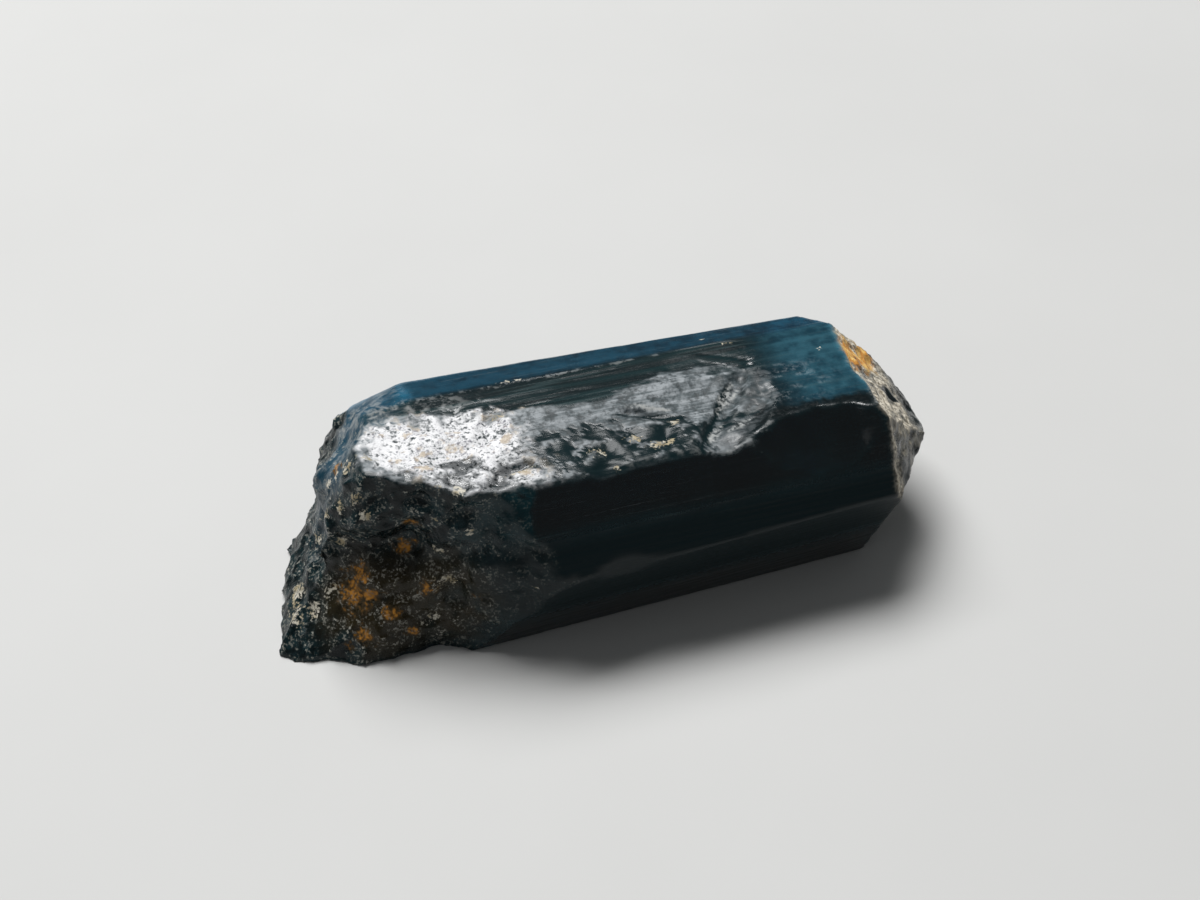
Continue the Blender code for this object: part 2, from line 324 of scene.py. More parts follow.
# Cream and whitish specks on the root corner, the breaks and the top
CREAM = ((-10.25, 1.48, 2.11, 0.4, 0.4), (-9.51, -0.77, 3.96, 0.35, 0.35), (-9.57, 0.78, 5.27, 0.22, 0.3),
         (-9.25, 0.4, 5.9, 0.22, 0.3), (-8.95, 0.04, 6.56, 0.25, 0.3), (-9.89, -0.22, 4.93, 0.3, 0.25),
         (-9.4, -0.7, 5.5, 0.25, 0.25), (-8.92, -1.21, 6.15, 0.25, 0.25), (-8.65, -1.4, 5.6, 0.25, 0.25),
         (-11.28, 0.04, 1.05, 0.5, 0.55), (-11.49, -0.8, 0.88, 0.45, 0.45), (-10.76, -1.1, 1.21, 0.4, 0.35),
         (-10.1, -1.15, 2.03, 0.35, 0.3), (-6.41, -2.18, 6.96, 0.22, 0.2), (-5.8, -2.51, 6.87, 0.35, 0.25),
         (-5.5, -2.94, 5.23, 0.18, 0.22), (-6.45, -2.35, 5.57, 0.5, 0.13), (-6.6, -2.33, 4.15, 0.5, 0.16),
         (-6.37, -2.83, 3.06, 0.4, 0.3), (-7.01, -2.82, 1.38, 0.35, 0.25), (-8.23, -0.25, 7.05, 0.3, 0.25),
         (-0.8, -2.25, 6.92, 0.34, 0.24), (2.21, -1.44, 6.98, 0.22, 0.2), (0.53, -1.89, 6.89, 0.42, 0.16),
         (1.47, -2.37, 6.97, 0.5, 0.18), (-0.31, -2.98, 6.89, 0.12, 0.14), (-3.7, -2.28, 7.0, 0.85, 0.13),
         (5.33, 2.07, 6.88, 0.2, 0.12), (4.75, 2.7, 6.74, 0.14, 0.08), (8.38, 0.74, 6.98, 0.13, 0.09),
         (-2.66, 2.33, 6.92, 0.35, 0.07), (-1.5, 0.44, 7.05, 0.25, 0.07), (-3.55, 0.5, 7.03, 0.35, 0.1),
         (-4.2, -3.6, 4.6, 0.45, 0.14), (-3.1, -4.3, 3.4, 0.5, 0.12))

# Iron stain on the breaks, in the slot on the top and on the pyramid
RUST = ((-9.41, -1.55, 2.22, 0.9, 0.9), (-9.1, -1.56, 2.97, 0.55, 0.6), (-8.71, -2.07, 2.41, 0.35, 0.35),
        (-9.36, -2.64, 1.09, 0.45, 0.45), (-8.29, -2.67, 1.88, 0.5, 0.4), (-7.12, -2.76, 2.87, 0.45, 0.35),
        (-5.52, -3.39, 2.65, 0.3, 0.22), (-9.92, -2.51, 0.58, 0.25, 0.25), (-7.24, -1.79, 5.15, 0.35, 0.3),
        (-9.18, 0.74, 5.99, 0.4, 0.5), (-7.59, -1.47, 3.84, 0.55, 0.4), (-7.69, -2.92, 1.03, 0.4, 0.3),
        (-3.75, -2.05, 7.0, 0.85, 0.13), (-8.8, -2.2, 0.7, 0.5, 0.4))
ORANGE = ((9.25, 0.6, 6.9, 0.6, 0.95), (9.9, 1.1, 6.2, 0.75, 0.85), (10.7, 1.7, 5.2, 0.8, 0.7),
          (9.2, 1.4, 6.9, 0.3, 0.35))

# Bare dark spots in the crust of the pyramid
DARK_WINDOWS = ((10.2, -1.4, 5.95, 0.6, 0.22), (9.9, -0.45, 6.3, 0.3, 0.25), (11.0, -0.2, 4.9, 0.5, 0.4),
                (10.9, 2.6, 5.0, 0.5, 0.4))


def surface_regions(piece, node):
    """Which part of the crystal each vertex belongs to, as weights of 0 or 1."""
    points, normals = read_points(piece)
    flat = on_flat_face(points, normals, flat_faces(node))
    x, z = points[:, 0], points[:, 2]
    top = (z > TOP_START_Z) & (normals[:, 2] > 0.6) & (x < TOP_END_X)
    broken = ~flat & (x < BREAK_END_X) & ~top & (z > 0.02)
    pyramid = (normals[:, 0] > 0.45) & (x > PYRAMID_START_X)
    return {"flat": flat.astype(float), "top": top.astype(float), "broken": broken.astype(float),
            "pyramid": pyramid.astype(float)}


def relief_texture(name, kind, size, **settings):
    """A procedural texture for relief, with its grain size in millimetres."""
    texture = bpy.data.textures.new(name, kind)
    texture.noise_scale = size * MM
    for key, value in settings.items():
        setattr(texture, key, value)
    return texture


def sink(piece, texture, depth, weights, stretch=None, direction="NORMAL"):
    """Presses a texture's relief into the surface by at most the depth, in millimetres."""
    group = vertex_group(piece, texture.name, weights)
    settings = {"texture": texture, "strength": depth * MM, "mid_level": 1.0, "vertex_group": group,
                "direction": direction}
    if stretch is None:
        add_modifier(piece, "DISPLACE", texture_coords="LOCAL", **settings)
        return
    bpy.ops.object.empty_add(location=(0, 0, 0))
    guide = bpy.context.active_object
    guide.scale = stretch
    bpy.context.view_layer.update()
    add_modifier(piece, "DISPLACE", texture_coords="OBJECT", texture_coords_object=guide, **settings)
    bpy.data.objects.remove(guide, do_unlink=True)


def sink_grains(piece, name, size, depth, weights, direction="NORMAL"):
    """Presses in cloudy grains of a size and depth in millimetres."""
    sink(piece, relief_texture(name, "CLOUDS", size, noise_depth=1), depth, weights, direction=direction)


def soften(piece, name, weights, rounds):
    """Rounds the surface where the weights say."""
    group = vertex_group(piece, name, weights)
    add_modifier(piece, "SMOOTH", factor=0.5, iterations=rounds, vertex_group=group)


def shape_surface(piece, node):
    """Wears the edges and presses hackles, grains, pits and striations into their own regions."""
    regions = surface_regions(piece, node)
    points, normals = read_points(piece)
    z = points[:, 2]
    edges = spread(piece, step(convexity(piece, points, normals), 0.004, 0.02), 2)
    edges = edges * np.maximum(step(z, 4.6, 5.6), regions["broken"])
    round_facets(piece, points, regions, edges)
    roughen_breaks(piece, points, regions, edges)
    satin = roughen_top(piece, points, regions)

    prism = regions["flat"] * (np.abs(normals[:, 0]) < 0.3) * (z > 0.05) * (1 - satin) * (1 - edges)
    striated = spread(piece, prism * np.where(regions["top"] > 0, 1.0, 0.55), 2)
    sink(piece, relief_texture("striations", "CLOUDS", 0.3, noise_depth=2), 0.022, striated,
         stretch=(28, 0.6, 0.6))
    sink_grains(piece, "crust grain", 0.4, 0.16, spread(piece, regions["pyramid"], 2))
    piece.vertex_groups.clear()
    keep_in_box(piece)
    return regions


def round_facets(piece, points, regions, edges):
    """Rounds the hard facets of chips, edges and corners, and fills the back slot."""
    x, y, z = points.T
    soften(piece, "chips", (1 - regions["flat"]) * (1 - 0.6 * regions["broken"]), 4)
    around_slot = (np.abs(x - 4.5) < 2.5) & (np.abs(y - 1.3) < 0.9) & (z > 6.6)
    level_top(piece, near(points, *BACK_SLOT) * around_slot, np.median(z[around_slot]))
    for name, centre, reach, rounds in SOFT_SIDES:
        soften(piece, name, near(points, centre, reach), rounds)
    soften(piece, "worn edges", np.clip(edges * 1.6, 0, 1), 2)
    for name, centre, reach, rounds in SOFT_CORNERS:
        soften(piece, name, near(points, centre, reach), rounds)


def roughen_breaks(piece, points, regions, edges):
    """Presses hackles and grains into the broken surfaces, the root corner and the worn edges."""
    x, z = points[:, 0], points[:, 2]
    rough = spread(piece, regions["broken"], 2) * (1 - 0.75 * step(x, -7.5, -3.5))
    hackles = relief_texture("hackles", "MUSGRAVE", 1.1, musgrave_type="RIDGED_MULTIFRACTAL", octaves=3)
    sink(piece, hackles, 0.11, rough)
    away_from_foot = 1 - 0.8 * near(points, *FOOT)
    sink_grains(piece, "grains", 0.34, 0.1, rough * (0.7 + 0.3 * step(-x, 8.5, 10.0)) * away_from_foot)
    soften(piece, "break", rough, 1)
    sink_grains(piece, "rim lumps", 0.6, 0.26, near(points, *RIM_LUMPS) * rough * step(z, 0.6, 1.6))
    sink_grains(piece, "corner grains", 0.4, 0.14, near(points, *CORNER_GRAINS) * (1 - rough))
    sink_grains(piece, "edge nicks", 0.55, 0.07, np.clip(edges * 1.5, 0, 1))


def roughen_top(piece, points, regions):
    """Presses sugary wear and ragged pits into the top and returns where it is satin."""
    top = regions["top"]
    ragged = 0.35 * mottle(points, 0.6, 1, top > 0)
    glare = within(points, GLARE, 0.35, ragged) * top
    satin = within(points, SATIN, 0.7, ragged) * top
    sink_grains(piece, "sugar_and_glare", 0.3, 0.09, spread(piece, np.maximum(glare, 0.2 * satin), 3), "Z")
    sink(piece, relief_texture("sugar pits", "VORONOI", 0.5), 0.08, spread(piece, glare, 2), direction="Z")
    pitted = spots(points, PITS, 0.9 * mottle(points, 0.45, 2, satin > 0)) * top
    sink_grains(piece, "ragged pits", 0.35, 0.07, spread(piece, pitted, 3), "Z")
    return satin


def level_top(piece, weights, level):
    """Fills a shallow slot up to a level in millimetres where the weights say."""
    mesh = piece.data
    points = np.empty(len(mesh.vertices) * 3)
    mesh.vertices.foreach_get("co", points)
    points = points.reshape(-1, 3)
    share = np.clip(weights * 2, 0, 1)
    points[:, 2] += share * (level * MM - points[:, 2])
    mesh.vertices.foreach_set("co", points.ravel())
    mesh.update()


def keep_in_box(piece):
    """Brings any vertex that stands out of the solid's box back to its side."""
    mesh = piece.data
    points = np.empty(len(mesh.vertices) * 3)
    mesh.vertices.foreach_get("co", points)
    low, high = (np.array(corner) for corner in cad_box)
    mesh.vertices.foreach_set("co", np.clip(points.reshape(-1, 3), low, high).ravel())
    mesh.update()


def paint(piece, name, values):
    """Stores one number for each vertex for the material to read."""
    attribute = piece.data.attributes.new(name, "FLOAT", "POINT")
    attribute.data.foreach_set("value", np.clip(values, 0, 1).astype(np.float32))


def paint_regions(piece, regions):
    """Paints where the crystal is frosted, broken, stained, crusted and worn, and where painted glow, sheen,
    glints and shade go.
    """
    points, normals = read_points(piece)
    areas = {name: spread(piece, regions[name], 2) for name in ("top", "broken", "pyramid")}
    cloud = mottle(points, 0.7, 3)
    fine = mottle(points, 0.35, 4)
    out = convexity(piece, points, normals)
    edge = step(spread(piece, out, 1), 0.002, 0.009)
    marks = top_marks(points, areas["top"], cloud, fine)
    marks.update(break_marks(points, areas, marks["bare"], cloud, fine))
    marks.update(pyramid_marks(points, normals, areas["pyramid"], cloud))
    # frost, with painted glints on the slivers
    marks["frost_and_glints"] = frost_and_glint_marks(points, areas["top"], edge, marks, cloud, fine)
    # convex crests, where painted highlights go on the breaks and the glare patch
    marks["crest"] = step(out, 0.0, 0.012)
    # painted shade: a band along the front lower edge is darkened
    front_edge_shade = 1 - step(np.hypot(points[:, 1] - FRONT_EDGE_Y, points[:, 2] - FRONT_EDGE_Z), 1.5, 2.6)
    marks["edge"] = np.maximum(spread(piece, edge, 2), front_edge_shade)
    for name in MARKS:
        paint(piece, name, marks[name])


def top_marks(points, top, cloud, fine):
    """Sugary glare patch painted white, satin with painted sheen, stripes, pits, cracks painted with shade
    and slivers painted as glints, on the top.
    """
    x, y, z = points.T
    drawn = mottle(points * np.array((0.25, 1.0, 1.0)), 0.5, 5, top > 0)
    ridge_fringe = 1 - near(points, *BELOW_RIDGE)
    glare = within(points, GLARE, 0.35, 0.3 * cloud + 0.3 * fine) * top * ridge_fringe
    # the satin and its painted sheen fade out towards the clear end
    satin = within(points, SATIN, 0.12, 0.2 * drawn) * top * (1 - 0.9 * step(x + 0.8 * fine, 3.9, 5.9))
    satin *= (1 - 0.5 * near(points, *THIN_SATIN)) * ridge_fringe

    pitted = spots(points, PITS, 0.9 * mottle(points, 0.45, 2, top > 0)) * top
    patchy = step(mottle(points * np.array((0.6, 1, 1)), 0.55, 6, satin > 0), -0.25, 0.05)
    pitted = np.maximum(pitted, within(points, PITTED, 0.3, 0.4 * fine) * patchy * top)
    # darker where the satin lies below the top level
    hollow = satin * step(TOP_Z - z + 0.05 * fine, 0.06, 0.15) * (x < 2.6) * (y < -1.1)
    pitted = np.maximum(pitted, hollow)
    # painted shade in the cracks, kept with the dark pits
    crack_shade = along_lines(points, SHADED_CRACKS, 0.3 * fine) * top
    # painted glints: the slivers are lit chip facets painted pale
    sliver_glints = along_lines(points, SLIVER_GLINTS, 0.4 * fine) * top
    band = step(y, 0.0, 0.5) * (1 - step(y, STRIP_Y - 0.25, STRIP_Y + 0.05)) * (1 - step(x, 5.0, 7.0))
    return {"satin": satin * (1 - pitted) * (1 - crack_shade), "glare": glare * (1 - 0.7 * pitted),
            "pit": np.maximum(pitted, crack_shade) * (1 - glare), "striped": top * band * (1 - satin),
            "calm": near(points, *RIGHT_CHIP) * np.clip(2 * satin, 0, 1) * (1 - sliver_glints),
            "bare": 1 - glare, "drawn": drawn, "sliver_glints": sliver_glints}


def break_marks(points, areas, bare, cloud, fine):
    """Grains, stain and specks of the breaks and the root corner, and where a blue glow is painted: the
    light that would shine through thin clear parts.
    """
    x, y = points[:, 0], points[:, 1]
    top, broken, pyramid = (areas[name] for name in ("top", "broken", "pyramid"))
    root_top = near(points, *ROOT_TOP) * bare
    corner = np.maximum(root_top, 0.6 * near(points, *ROOT_SIDE))
    grainy = broken * (1 - 0.75 * step(x + 0.8 * cloud, -7.0, -4.0))
    # painted glow: the clear end and the back strip are painted blue as if light shone through them
    clear_end_glow = 0.85 * step(x, 5.2, 7.6) * step(y + 0.1 * fine, -2.1, -1.7)
    blue = top * np.maximum(0.62 * step(y, STRIP_Y - 0.2, STRIP_Y + 0.2), clear_end_glow)
    # painted glow on the back faces as well
    back_face_glow = step(y, 3.2, 3.8) * (1 - pyramid) * (1 - 0.7 * broken)
    return {"broken": np.maximum(grainy, 0.5 * corner * bare),
            "tint": broken * np.maximum(near(points, *BROWN_BREAK), near(points, *BROWN_SIDE)),
            "rust": spots(points, RUST, 0.3 * fine + 0.2 * cloud, 0.15, 1.35),
            "cream": spots(points, CREAM, 0.4 * fine, 0.25, 1.3),
            "blue": np.max([blue, corner, back_face_glow], axis=0),
            "corner": np.maximum(corner, near(points, *ROOT_SHOULDER)),
            "root_top": root_top, "root_corner": corner}


def pyramid_marks(points, normals, pyramid, cloud):
    """The pale crust, thinner on the faces turned to the front as painted shade, its bare spots and the
    orange stain of the pyramid end.
    """
    x, z = points[:, 0], points[:, 2]
    slope = math.radians(60)
    front = np.array((0.0, -math.sin(slope), math.cos(slope)))
    below_ridge = -((points - np.array((0.0, RIDGE_Y, TOP_Z))) @ front)
    rim_gap = np.minimum(TOP_Z - z, below_ridge)
    pale_rim = pyramid * (1 - step(rim_gap + 0.2 * cloud, 0.3, 0.65))
    # painted shade: less pale crust on the faces turned to the front
    shaded = step(-normals[:, 1], 0.2, 0.5)
    crust_and_shade = pyramid * np.clip(0.42 + 0.45 * cloud + 0.5 * step(z, 2.5, 5.0) - 0.6 * shaded, 0, 1)
    bare_spots = spots(points, DARK_WINDOWS, 0.3 * cloud)
    tip = step(x, 11.3, 12.0)
    return {"crust_and_shade": np.clip(np.maximum(crust_and_shade, pale_rim) * (1 - bare_spots) * (1 - 0.85 * tip), 0, 1),
            "orange": spots(points, ORANGE, 0.3 * cloud) * pyramid}


def frost_and_glint_marks(points, top, edge, marks, cloud, fine):
    """Pale frost on the ridge, the seam and the root corner, and painted glints on the slivers beside the
    cracks.
    """
    x, y, z = points.T
    ridge_rim = within(points, RIDGE_RIM, 0.45, 0.3 * fine) * (z > 6.0) * edge
    seam = top * (1 - step(np.abs(y - STRIP_Y + 0.1 + 0.05 * cloud), 0.03, 0.1)) * (x < 3.5)
    top_rim = edge * (z > 5.6) * (y < -1.0) * (x > -3.5) * (x < 5.5)
    root_haze = 0.55 * near(points, *ROOT_HAZE) * marks["bare"]
    end_haze = 0.3 * near(points, *END_HAZE) * step(marks["drawn"], -0.2, 0.3)
    frost_and_glints = np.max([0.9 * ridge_rim, 0.5 * seam, 0.55 * top_rim, root_haze, end_haze,
                    0.4 * marks["root_top"], 0.35 * marks["root_corner"]], axis=0)
    return np.maximum(frost_and_glints * step(fine, -0.3, 0.4), marks["sliver_glints"])


# Material

# The painted weights that the material reads
MARKS = ("satin", "glare", "pit", "broken", "tint", "rust", "cream", "frost_and_glints", "striped", "crust_and_shade", "calm",
         "orange", "blue", "crest", "edge", "corner")

# Colours, as linear red, green and blue; a pair is blended by noise
BODY = ((0.004, 0.02, 0.025), (0.006, 0.034, 0.042))
# painted glow: the blue of light shining through the thin clear end and the back strip
CLEAR_END_GLOW = ((0.012, 0.09, 0.145), (0.065, 0.25, 0.345))
BACK_STRIP_GLOW = ((0.004, 0.06, 0.12), (0.03, 0.21, 0.36))
ROOT_TEAL = (0.003, 0.022, 0.036)
STRIPED_BAND = ((0.002, 0.018, 0.022), (0.008, 0.046, 0.052))
BAND_LINE = (0.055, 0.115, 0.12)
GROWTH_LINE = (0.10, 0.17, 0.18)
# darker convex edges, and painted shade along the front lower edge
EDGE_AND_SHADE_DARK = (0.002, 0.009, 0.011)
# painted sheen: the satin grey stands in for the lamp's sheen on the etched top as well as its frosting
SATIN_AND_SHEEN_GREY = ((0.105, 0.13, 0.14), (0.4, 0.43, 0.45))
# dark of the clean pits and the low parts of the satin, and painted shade in the cracks
PIT_AND_SHADE_BLACK = (0.005, 0.013, 0.015)
# painted glare: the near white of the sugary patch stands in for the lamp's glare as well as its frosting
SUGAR_AND_GLARE_WHITE = ((0.95, 0.95, 0.96), (0.24, 0.24, 0.28))
SUGAR_TAN = (0.72, 0.6, 0.44)
BREAK_BLACK = ((0.001, 0.005, 0.006), (0.005, 0.02, 0.024))
BREAK_BROWN = (0.02, 0.015, 0.005)
BREAK_BLUE = (0.01, 0.06, 0.1)
# pale specks, brightened on the crests as painted glints
SALT_AND_GLINT = (0.4, 0.39, 0.34)
STAIN = ((0.07, 0.042, 0.014), (0.46, 0.2, 0.03))
CRUST = ((0.36, 0.31, 0.23), (0.78, 0.72, 0.6))
ORANGE_STAIN = ((0.62, 0.27, 0.05), (0.78, 0.5, 0.16))
CREAM_SPECK = ((0.66, 0.62, 0.52), (0.42, 0.35, 0.22))
CALM_TEAL = (0.03, 0.06, 0.07)
# pale frost, and painted glints on the slivers
FROST_AND_GLINT_PALE = (0.4, 0.41, 0.4)
FLOOR = ((0.52, 0.52, 0.51), (0.57, 0.57, 0.56))

# Apatite as a clear solid: the colour that its depth leaves and how fast it darkens
APATITE_IOR = 1.63
DEPTH_COLOUR = (0.03, 0.4, 0.5)
DEPTH_DENSITY = 850.0


class Recipe:
    """A material's nodes, added one step at a time."""

    def __init__(self, name):
        self.material = bpy.data.materials.new(name)
        self.material.use_nodes = True
        self.tree = self.material.node_tree
        self.tree.nodes.clear()
        self.place = self.add("ShaderNodeTexCoord").outputs["Object"]

    def add(self, kind, inputs=None, **settings):
        node = self.tree.nodes.new(kind)
        for name, value in settings.items():
            setattr(node, name, value)
        for name, value in (inputs or {}).items():
            self.feed(node.inputs[name], value)
        return node

    def feed(self, socket, value):
        if isinstance(value, bpy.types.NodeSocket):
            self.tree.links.new(value, socket)
        elif isinstance(value, tuple) and len(value) == 3 and len(socket.default_value) == 4:
            socket.default_value = (*value, 1.0)
        else:
            socket.default_value = value

    def painted(self, name):
        return self.add("ShaderNodeAttribute", attribute_name=name).outputs["Fac"]

    def noise(self, size, stretch=(1, 1, 1), detail=3.0, roughness=0.55, shift=0.0):
        """Noise from 0 to 1 with its grain size in millimetres."""
        mapping = self.add("ShaderNodeMapping", {
            "Vector": self.place, "Scale": tuple(1 / share for share in stretch),
            "Location": (shift, shift, shift)})
        return self.add("ShaderNodeTexNoise", {
            "Vector": mapping.outputs["Vector"], "Scale": 1 / (size * MM), "Detail": detail,
            "Roughness": roughness}).outputs["Fac"]

    def between(self, value, low, high, start=0.0, end=1.0):
        """Start below low, end above high and an even S between."""
        return self.add("ShaderNodeMapRange", {
            "Value": value, "From Min": low, "From Max": high, "To Min": start, "To Max": end},
            interpolation_type="SMOOTHSTEP").outputs["Result"]

    def sum(self, one, other, operation="ADD"):
        node = self.add("ShaderNodeMath", operation=operation)
        self.feed(node.inputs[0], one)
        self.feed(node.inputs[1], other)
        return node.outputs["Value"]

    def less(self, one, other):
        return self.sum(one, other, "SUBTRACT")

    def times(self, one, other):
        return self.sum(one, other, "MULTIPLY")

    def most(self, one, other):
        return self.sum(one, other, "MAXIMUM")

    def blend(self, factor, one, other):
        """One colour at 0, the other at 1."""
        node = self.add("ShaderNodeMix", data_type="RGBA")
        self.feed(node.inputs[0], factor)
        self.feed(node.inputs[6], one)
        self.feed(node.inputs[7], other)
        return node.outputs[2]

    def level(self, factor, one, other):
        """One number at 0, the other at 1."""
        node = self.add("ShaderNodeMix", data_type="FLOAT")
        self.feed(node.inputs[0], factor)
        self.feed(node.inputs[2], one)
        self.feed(node.inputs[3], other)
        return node.outputs[0]


def apatite_material():
    """Dark teal crystal, clear where it is clean, frosted where worn, and stained or crusted in places, with
    a painted blue glow at thin clear parts, painted sheen, glare and glints, and painted shade in cracks and
    along the front edge.
    """
    mix = Recipe("apatite")
    mark = {name: mix.painted(name) for name in MARKS}
    grain = {"fine": mix.noise(0.13, detail=4), "medium": mix.noise(0.45, detail=4, shift=0.3),
             "broad": mix.noise(2.2, detail=3, shift=0.7),
             "lines": mix.noise(0.14, stretch=(35, 1, 1), detail=4),
             "bands": mix.noise(0.5, stretch=(30, 1, 1), detail=3, shift=0.2),
             "pepper": mix.noise(0.11, detail=3, roughness=0.65, shift=0.5)}
    grain["grit"] = mix.sum(mix.times(grain["fine"], 0.55), mix.times(grain["medium"], 0.45))

    amount = {}
    colour = clean_colour(mix, mark, grain)
    colour = wear_sheen_glare_shade_colour(mix, mark, grain, amount, colour)
    colour = broken_colour(mix, mark, grain, amount, colour)
    colour = stain_crust_frost_and_glint_colour(mix, mark, grain, amount, colour)
    roughness, clear = finish(mix, mark, grain, amount)

    rough_area = mix.most(mix.most(mark["broken"], mark["glare"]),
                          mix.most(mark["crust_and_shade"], mix.times(mark["satin"], 0.4)))
    grit_height = mix.level(mix.most(mark["broken"], mark["pit"]), 1.0, 0.45)
    relief = mix.level(rough_area, mix.times(grain["lines"], 0.16), mix.times(grain["grit"], grit_height))
    bump = mix.add("ShaderNodeBump", {"Height": relief, "Strength": 0.7, "Distance": 0.14 * MM})
    shader = mix.add("ShaderNodeBsdfPrincipled", {
        "Base Color": colour, "Roughness": roughness, "Transmission Weight": clear,
        "Normal": bump.outputs["Normal"], "IOR": APATITE_IOR, "Specular IOR Level": 0.12})
    depth = mix.add("ShaderNodeVolumeAbsorption", {"Color": DEPTH_COLOUR, "Density": DEPTH_DENSITY})
    output = mix.add("ShaderNodeOutputMaterial", {
        "Surface": shader.outputs["BSDF"], "Volume": depth.outputs["Volume"]})
    output.is_active_output = True
    return mix.material


def clean_colour(mix, mark, grain):
    """Clean faces: dark teal in the body, with a painted blue glow of light shining through the thin back
    edge and the clear end, and pale growth lines.
    """
    body = mix.blend(mix.between(grain["broad"], 0.35, 0.65), *BODY)
    drift = mix.sum(mix.times(grain["medium"], 0.5), mix.times(grain["bands"], 0.5))
    glow = mix.blend(mix.between(drift, 0.36, 0.64), *CLEAR_END_GLOW)
    strip_glow = mix.blend(mix.between(drift, 0.36, 0.62), *BACK_STRIP_GLOW)
    across = mix.add("ShaderNodeSeparateXYZ", {"Vector": mix.place}).outputs["Y"]
    glow = mix.blend(mix.between(across, 1.7 * MM, 2.1 * MM), glow, strip_glow)
    # the painted blue glow is laid over the body here
    colour = mix.blend(mark["blue"], body, glow)
    colour = mix.blend(mix.times(mark["corner"], 0.75), colour, ROOT_TEAL)
    stripes = mix.blend(mix.between(grain["bands"], 0.42, 0.58), *STRIPED_BAND)
    stripes = mix.blend(mix.between(grain["lines"], 0.54, 0.68, 0.0, 0.6), stripes, BAND_LINE)
    colour = mix.blend(mark["striped"], colour, stripes)
    colour = mix.blend(mix.between(grain["lines"], 0.58, 0.74, 0.0, 0.35), colour, GROWTH_LINE)
    # darker along convex edges, and painted shade over the band along the front lower edge, except where the
    # glow is painted
    return mix.blend(mix.times(mark["edge"], mix.less(1.0, mark["blue"])), colour, EDGE_AND_SHADE_DARK)


def wear_sheen_glare_shade_colour(mix, mark, grain, amount, colour):
    """Satin grey that is partly frosting and partly painted sheen, dark pits, painted shade in the cracks,
    and sugary white that is partly painted glare, on the worn top.
    """
    lines, bands, medium = grain["lines"], grain["bands"], grain["medium"]
    broad, grit = grain["broad"], grain["grit"]
    amount["satin"] = mix.times(mark["satin"], mix.between(grit, 0.36, 0.56, 0.4, 1.0))
    sheen = mix.sum(mix.times(lines, 0.4), mix.sum(mix.times(bands, 0.3), mix.times(medium, 0.3)))
    # painted sheen mixed with the frosted grey of the satin
    satin_and_sheen_grey = mix.blend(mix.between(sheen, 0.42, 0.58), *SATIN_AND_SHEEN_GREY)
    colour = mix.blend(mix.times(amount["satin"], 0.9), colour, satin_and_sheen_grey)
    # dark pits, and painted shade in the cracks
    colour = mix.blend(mix.times(mark["pit"], 0.9), colour, PIT_AND_SHADE_BLACK)
    # the painted glare is whiter on convex crests, a painted highlight
    raised = mix.sum(grit, mix.times(mark["crest"], 0.1))
    amount["glare"] = mix.times(mark["glare"], mix.between(raised, 0.39, 0.52))
    patches = mix.sum(grit, mix.less(mix.times(broad, 0.5), 0.25))
    # painted glare: the sugary patch is painted near white
    sugar_and_glare = mix.blend(mix.between(patches, 0.51, 0.63), *SUGAR_AND_GLARE_WHITE)
    sugar_and_glare = mix.blend(mix.between(mix.sum(broad, medium), 1.06, 1.2, 0.0, 0.7), sugar_and_glare, SUGAR_TAN)
    return mix.blend(amount["glare"], colour, sugar_and_glare)


def broken_colour(mix, mark, grain, amount, colour):
    """Dark grains with pale salt specks that are brighter on the crests as painted highlights, brown in
    places and blue at the root corner.
    """
    medium, pepper = grain["medium"], grain["pepper"]
    salt = mix.times(mix.between(pepper, 0.52, 0.6), mix.between(medium, 0.45, 0.54))
    # painted highlights: the salt specks are strongest on convex crests
    amount["salt"] = mix.times(mix.level(mark["crest"], 0.4, 1.0), salt)
    grains = mix.blend(mix.between(medium, 0.4, 0.62), *BREAK_BLACK)
    brown = mix.times(mark["tint"], mix.between(grain["broad"], 0.3, 0.5))
    grains = mix.blend(brown, grains, BREAK_BROWN)
    grains = mix.blend(mix.times(mark["corner"], 0.8), grains, BREAK_BLUE)
    grains = mix.blend(amount["salt"], grains, SALT_AND_GLINT)
    return mix.blend(mark["broken"], colour, grains)


